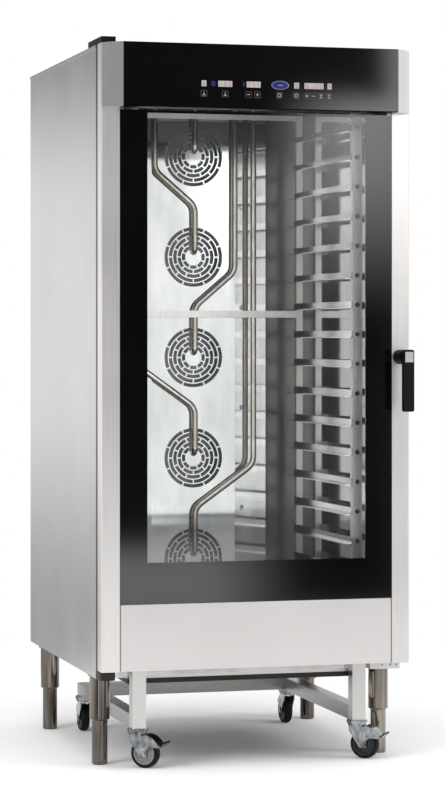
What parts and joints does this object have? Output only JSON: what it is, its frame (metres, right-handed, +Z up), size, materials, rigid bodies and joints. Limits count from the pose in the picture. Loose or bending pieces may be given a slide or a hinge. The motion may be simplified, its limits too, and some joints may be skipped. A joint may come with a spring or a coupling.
{
  "type": "convection oven",
  "caption": "Tall floor-standing convection oven with a glass door, head-height control fascia, lever handle and a docked roll-in tray trolley on casters.",
  "frame": {"origin": "middle of the footprint on the floor", "axes": "+Z up, +X to the right of someone facing the door, +Y from the door to the back"},
  "size_m": [0.866, 1.114, 1.98],
  "materials": {
    "brushed_stainless": "brushed",
    "satin_stainless": "satin",
    "dark_sheet_steel": "satin",
    "bright_stainless": "bright annealed",
    "polished_steel": "polished",
    "mineral_wool": "fibrous",
    "gasket_rubber": "matte",
    "motor_paint": "satin",
    "heater_sheath": "heat tinted",
    "fan_steel": "satin",
    "pipe_steel": "satin",
    "door_glass": "clear with black print",
    "black_glass": "gloss",
    "circuit_board": "solder mask",
    "hinge_steel": "machined",
    "black_plastic": "fine grain",
    "silver_insert": "satin",
    "zinc_plate": "zinc plated",
    "caster_rubber": "matte",
    "pedal_plastic": "moulded",
    "inlet_brass": "turned"
  },
  "bodies": {
    "cabinet": {"side_panels": "brushed_stainless", "top_panel": "brushed_stainless", "front_header": "brushed_stainless", "rear_panel": "brushed_stainless", "rack_uprights": "brushed_stainless", "rack_crossbars": "brushed_stainless", "trolley_frame": "brushed_stainless", "trolley_deck": "brushed_stainless", "left_tray_runners": "brushed_stainless", "right_tray_runners": "brushed_stainless", "exhaust_chimney": "satin_stainless", "drain_outlet": "satin_stainless", "base_pan": "dark_sheet_steel", "cavity_liner": "bright_stainless", "cavity_rear_wall": "bright_stainless", "fan_baffle": "bright_stainless", "baffle_studs": "bright_stainless", "leg_sleeves": "polished_steel", "insulation": "mineral_wool", "door_gasket": "gasket_rubber", "fan_motors": "motor_paint", "heating_elements": "heater_sheath", "injector_pipes": "pipe_steel", "top_hinge_bracket": "hinge_steel", "bottom_hinge_bracket": "hinge_steel", "latch_keeper": "hinge_steel", "top_hinge_cap": "black_plastic", "cable_gland": "black_plastic", "caster_heads": "zinc_plate", "water_inlet": "inlet_brass"},
    "door": {"door_stiles": "satin_stainless", "door_lower_panel": "satin_stainless", "door_outer_glass": "door_glass", "door_inner_glass": "door_glass", "door_back_frame": "satin_stainless", "fascia_housing": "brushed_stainless", "fascia_glass": "black_glass", "control_board": "circuit_board"},
    "door_handle": {"handle_grip": "black_plastic", "handle_insert": "silver_insert", "latch_spindle": "hinge_steel"},
    "fan_1": {"fan_wheel_1": "fan_steel"},
    "fan_2": {"fan_wheel_2": "fan_steel"},
    "fan_3": {"fan_wheel_3": "fan_steel"},
    "fan_4": {"fan_wheel_4": "fan_steel"},
    "fan_5": {"fan_wheel_5": "fan_steel"},
    "foot_front_left": {"foot_front_left": "polished_steel"},
    "foot_front_right": {"foot_front_right": "polished_steel"},
    "foot_rear_left": {"foot_rear_left": "polished_steel"},
    "foot_rear_right": {"foot_rear_right": "polished_steel"},
    "fork_front_left": {"caster_fork_front_left": "zinc_plate"},
    "wheel_front_left": {"caster_wheel_front_left": "caster_rubber"},
    "pedal_front_left": {"brake_pedal_front_left": "pedal_plastic"},
    "fork_front_right": {"caster_fork_front_right": "zinc_plate"},
    "wheel_front_right": {"caster_wheel_front_right": "caster_rubber"},
    "pedal_front_right": {"brake_pedal_front_right": "pedal_plastic"},
    "fork_rear_left": {"caster_fork_rear_left": "zinc_plate"},
    "wheel_rear_left": {"caster_wheel_rear_left": "caster_rubber"},
    "fork_rear_right": {"caster_fork_rear_right": "zinc_plate"},
    "wheel_rear_right": {"caster_wheel_rear_right": "caster_rubber"}
  },
  "joints": [
    {"name": "door_hinge", "type": "hinge", "parent": "cabinet", "child": "door", "pos_m": [-0.411, -0.448, 1.1], "axis": [0, 0, -1], "range_deg": [0, 120]},
    {"name": "handle_turn", "type": "hinge", "parent": "door", "child": "door_handle", "pos_m": [0.405, -0.475, 1.11], "axis": [0, 1, 0], "range_deg": [0, 90]},
    {"name": "fan_1_spin", "type": "hinge", "parent": "cabinet", "child": "fan_1", "pos_m": [0, 0.276, 1.698], "axis": [0, 1, 0], "continuous": true},
    {"name": "fan_2_spin", "type": "hinge", "parent": "cabinet", "child": "fan_2", "pos_m": [0, 0.276, 1.401], "axis": [0, 1, 0], "continuous": true},
    {"name": "fan_3_spin", "type": "hinge", "parent": "cabinet", "child": "fan_3", "pos_m": [0, 0.276, 1.104], "axis": [0, 1, 0], "continuous": true},
    {"name": "fan_4_spin", "type": "hinge", "parent": "cabinet", "child": "fan_4", "pos_m": [0, 0.276, 0.807], "axis": [0, 1, 0], "continuous": true},
    {"name": "fan_5_spin", "type": "hinge", "parent": "cabinet", "child": "fan_5", "pos_m": [0, 0.276, 0.51], "axis": [0, 1, 0], "continuous": true},
    {"name": "foot_front_left_level", "type": "slide", "parent": "cabinet", "child": "foot_front_left", "axis": [0, 0, 1], "range_m": [-0.04, 0]},
    {"name": "foot_front_right_level", "type": "slide", "parent": "cabinet", "child": "foot_front_right", "axis": [0, 0, 1], "range_m": [-0.04, 0]},
    {"name": "foot_rear_left_level", "type": "slide", "parent": "cabinet", "child": "foot_rear_left", "axis": [0, 0, 1], "range_m": [-0.04, 0]},
    {"name": "foot_rear_right_level", "type": "slide", "parent": "cabinet", "child": "foot_rear_right", "axis": [0, 0, 1], "range_m": [-0.04, 0]},
    {"name": "caster_front_left_swivel", "type": "hinge", "parent": "cabinet", "child": "fork_front_left", "pos_m": [-0.312, -0.383, 0.094], "axis": [0, 0, 1], "continuous": true},
    {"name": "wheel_front_left_roll", "type": "hinge", "parent": "fork_front_left", "child": "wheel_front_left", "pos_m": [-0.29362, -0.39843, 0.04], "axis": [0.6428, 0.766, 0], "continuous": true},
    {"name": "pedal_front_left_press", "type": "hinge", "parent": "fork_front_left", "child": "pedal_front_left", "pos_m": [-0.29821, -0.39457, 0.066], "axis": [0.6428, 0.766, 0], "range_deg": [0, 10]},
    {"name": "caster_front_right_swivel", "type": "hinge", "parent": "cabinet", "child": "fork_front_right", "pos_m": [0.312, -0.383, 0.094], "axis": [0, 0, 1], "continuous": true},
    {"name": "wheel_front_right_roll", "type": "hinge", "parent": "fork_front_right", "child": "wheel_front_right", "pos_m": [0.33038, -0.39843, 0.04], "axis": [0.6428, 0.766, 0], "continuous": true},
    {"name": "pedal_front_right_press", "type": "hinge", "parent": "fork_front_right", "child": "pedal_front_right", "pos_m": [0.32579, -0.39457, 0.066], "axis": [0.6428, 0.766, 0], "range_deg": [0, 10]},
    {"name": "caster_rear_left_swivel", "type": "hinge", "parent": "cabinet", "child": "fork_rear_left", "pos_m": [-0.312, 0.286, 0.094], "axis": [0, 0, 1], "continuous": true},
    {"name": "wheel_rear_left_roll", "type": "hinge", "parent": "fork_rear_left", "child": "wheel_rear_left", "pos_m": [-0.312, 0.31, 0.04], "axis": [1, 0, 0], "continuous": true},
    {"name": "caster_rear_right_swivel", "type": "hinge", "parent": "cabinet", "child": "fork_rear_right", "pos_m": [0.312, 0.286, 0.094], "axis": [0, 0, 1], "continuous": true},
    {"name": "wheel_rear_right_roll", "type": "hinge", "parent": "fork_rear_right", "child": "wheel_rear_right", "pos_m": [0.312, 0.31, 0.04], "axis": [1, 0, 0], "continuous": true}
  ]
}
